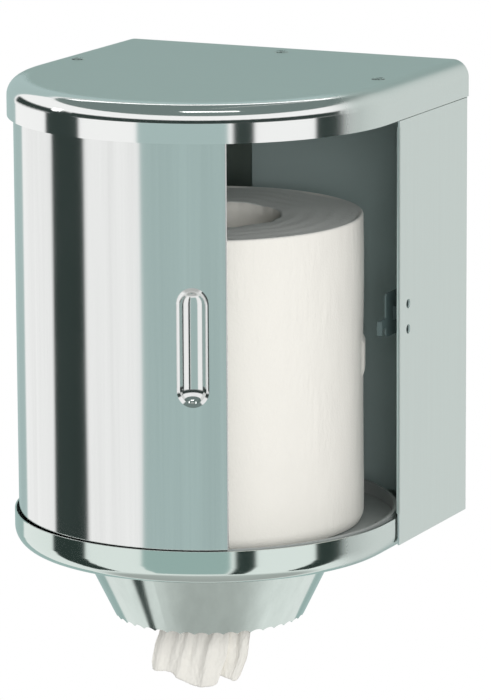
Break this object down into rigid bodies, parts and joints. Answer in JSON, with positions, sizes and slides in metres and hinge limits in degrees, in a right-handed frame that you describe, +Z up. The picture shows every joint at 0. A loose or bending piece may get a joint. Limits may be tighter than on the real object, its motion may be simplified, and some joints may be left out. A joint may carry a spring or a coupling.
{
  "type": "centre-pull paper towel dispenser",
  "caption": "Wall-mounted stainless steel centre-pull paper towel dispenser: curved door turns in rails round an upright roll, paper pulls down through a toothed funnel.",
  "frame": {"origin": "the middle of the casing's back face, on the wall plane, halfway up the casing between the tray's underside and the lid's top", "axes": "+X to the right as seen from the front (the lock's side), +Y into the wall, +Z up; the front is towards -Y"},
  "size_m": [0.252, 0.252, 0.3973],
  "materials": {
    "satin_steel": "satin brushed stainless steel",
    "polished_steel": "mirror polished stainless steel",
    "rivet_steel": "polished",
    "plated_steel": "black zinc plated",
    "rail_plastic": "moulded, matt light grey",
    "washer_plastic": "moulded, natural white",
    "buffer_rubber": "matt black",
    "tissue": "soft embossed tissue"
  },
  "bodies": {
    "casing": {"rear_shell": "satin_steel", "top_lid": "satin_steel", "bottom_tray": "polished_steel", "side_straps": "satin_steel", "outlet_funnel": "polished_steel", "funnel_rivets": "rivet_steel", "lower_rail": "rail_plastic", "upper_rail": "rail_plastic", "lower_rail_rivets": "rivet_steel", "upper_rail_rivets": "rivet_steel", "stop_buffers": "buffer_rubber", "lock_bracket": "plated_steel", "lock_pin": "plated_steel", "pin_clips": "plated_steel", "lock_washers": "washer_plastic"},
    "door": {"door_panel": "polished_steel", "lock_keeper": "plated_steel"},
    "lock": {"lock_rocker": "plated_steel"},
    "roll": {"paper_roll": "tissue"},
    "tail": {"paper_tail": "tissue"}
  },
  "joints": [
    {"name": "door_turn", "type": "hinge", "parent": "casing", "child": "door", "pos_m": [0, -0.126, 0], "axis": [0, 0, 1], "range_deg": [-57.2, 69.2]},
    {"name": "lock_rock", "type": "hinge", "parent": "casing", "child": "lock", "pos_m": [0.1163, -0.07955, 0], "axis": [0, -1, 0], "range_deg": [0, 16]},
    {"name": "roll_turn", "type": "hinge", "parent": "casing", "child": "roll", "pos_m": [0, -0.126, 0], "axis": [0, 0, 1], "continuous": true},
    {"name": "tail_pull", "type": "slide", "parent": "casing", "child": "tail", "axis": [0, 0, -1], "range_m": [0, 0.08]}
  ]
}
